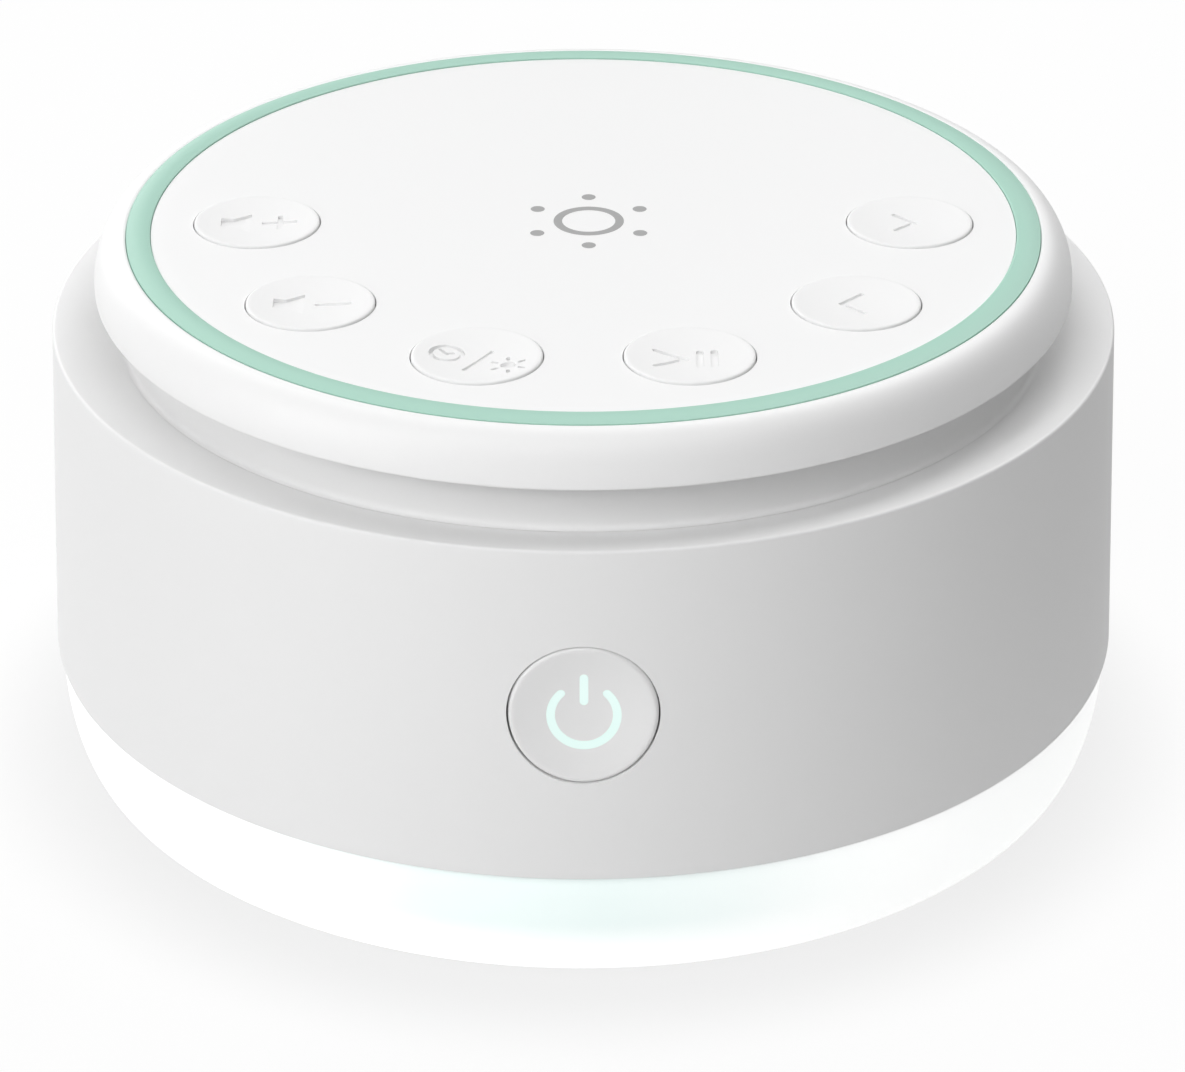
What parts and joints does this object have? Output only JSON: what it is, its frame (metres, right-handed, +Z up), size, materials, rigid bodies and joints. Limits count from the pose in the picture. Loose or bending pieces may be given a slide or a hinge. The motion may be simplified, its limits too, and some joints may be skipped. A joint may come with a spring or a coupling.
{
  "type": "white noise sound machine",
  "caption": "Low round sound machine with a dished body, a cap with push keys on a neck, a front power button and a glowing ring at its foot.",
  "frame": {"origin": "centre of the footprint on the table, under the rubber feet", "axes": "+Z up, -Y out of the front with the power button, +X to the right"},
  "size_m": [0.102, 0.102, 0.0535],
  "materials": {
    "foot_rubber": "matt soft rubber",
    "base_abs": "fine moulded texture",
    "body_abs": "satin moulding",
    "cap_abs": "satin moulding",
    "key_abs": "satin moulding",
    "accent_abs": "satin mint moulding",
    "inner_abs": "plain moulding",
    "plunger_nylon": "plain moulding",
    "socket_nylon": "plain moulding",
    "chip_black": "moulded epoxy",
    "green_laminate": "solder mask",
    "white_laminate": "white solder mask",
    "ribbon_film": "polyester film",
    "foam": "closed-cell foam",
    "surround_rubber": "smooth rubber",
    "cone_paper": "pressed pulp",
    "spider_cloth": "resin-stiffened cloth",
    "ferrite": "ground ferrite",
    "plate_steel": "zinc plated",
    "basket_steel": "black paint",
    "screw_steel": "zinc plated",
    "usb_steel": "drawn sheet",
    "copper": "enamelled wire",
    "cell_foil": "laminated foil",
    "opal_lamp": "opal, lit from inside",
    "mark_lens": "clear, lit from behind",
    "led_lens": "clear resin"
  },
  "bodies": {
    "housing": {"rubber_feet": "foot_rubber", "base_plate": "base_abs", "base_screws": "screw_steel", "light_diffuser": "opal_lamp", "lamp_board": "white_laminate", "lamp_leds": "led_lens", "chassis_plate": "inner_abs", "chassis_screws": "screw_steel", "battery_tape": "foam", "battery_cell": "cell_foil", "main_board": "green_laminate", "board_screws": "screw_steel", "board_chips": "chip_black", "lead_sockets": "socket_nylon", "usb_socket": "usb_steel", "usb_tongue": "chip_black", "body_shell": "body_abs", "sound_collar": "body_abs", "speaker_grille": "inner_abs", "speaker_gasket": "foam", "speaker_basket": "basket_steel", "speaker_screws": "screw_steel", "speaker_pole": "plate_steel", "speaker_magnet": "ferrite", "speaker_top_plate": "plate_steel", "speaker_spider": "spider_cloth", "speaker_surround": "surround_rubber", "power_board": "green_laminate", "power_board_screws": "screw_steel", "power_switch": "chip_black", "power_led": "led_lens", "cap_base": "inner_abs", "cap_screws": "screw_steel", "cap_rim": "cap_abs", "accent_ring": "accent_abs", "top_panel": "cap_abs", "key_board": "green_laminate", "key_board_screws": "screw_steel", "touch_pad": "foam", "key_switches": "chip_black", "ribbon_connectors": "socket_nylon", "ribbon_cable": "ribbon_film"},
    "key_volume_up": {"key_volume_up": "key_abs", "plunger_volume_up": "plunger_nylon"},
    "key_volume_down": {"key_volume_down": "key_abs", "plunger_volume_down": "plunger_nylon"},
    "key_timer": {"key_timer": "key_abs", "plunger_timer": "plunger_nylon"},
    "key_play": {"key_play": "key_abs", "plunger_play": "plunger_nylon"},
    "key_previous": {"key_previous": "key_abs", "plunger_previous": "plunger_nylon"},
    "key_next": {"key_next": "key_abs", "plunger_next": "plunger_nylon"},
    "power_button": {"power_button": "key_abs", "power_mark": "mark_lens", "power_plunger": "plunger_nylon"},
    "speaker_cone": {"speaker_cone": "cone_paper", "dust_cap": "cone_paper", "voice_coil": "copper"}
  },
  "joints": [
    {"name": "volume_up_press", "type": "slide", "parent": "housing", "child": "key_volume_up", "axis": [0, 0, -1], "range_m": [0, 0.00025], "stiffness_N_per_m": 2000, "springref_m": -0.0005},
    {"name": "volume_down_press", "type": "slide", "parent": "housing", "child": "key_volume_down", "axis": [0, 0, -1], "range_m": [0, 0.00025], "stiffness_N_per_m": 2000, "springref_m": -0.0005},
    {"name": "timer_press", "type": "slide", "parent": "housing", "child": "key_timer", "axis": [0, 0, -1], "range_m": [0, 0.00025], "stiffness_N_per_m": 2000, "springref_m": -0.0005},
    {"name": "play_press", "type": "slide", "parent": "housing", "child": "key_play", "axis": [0, 0, -1], "range_m": [0, 0.00025], "stiffness_N_per_m": 2000, "springref_m": -0.0005},
    {"name": "previous_press", "type": "slide", "parent": "housing", "child": "key_previous", "axis": [0, 0, -1], "range_m": [0, 0.00025], "stiffness_N_per_m": 2000, "springref_m": -0.0005},
    {"name": "next_press", "type": "slide", "parent": "housing", "child": "key_next", "axis": [0, 0, -1], "range_m": [0, 0.00025], "stiffness_N_per_m": 2000, "springref_m": -0.0005},
    {"name": "power_press", "type": "slide", "parent": "housing", "child": "power_button", "axis": [0, 1, 0], "range_m": [0, 0.0004], "stiffness_N_per_m": 2500, "springref_m": -0.0005},
    {"name": "cone_stroke", "type": "slide", "parent": "housing", "child": "speaker_cone", "axis": [0, 0, 1], "range_m": [-0.0004, 0.0004], "stiffness_N_per_m": 2000, "deforming": ["speaker_surround", "speaker_spider"]}
  ]
}
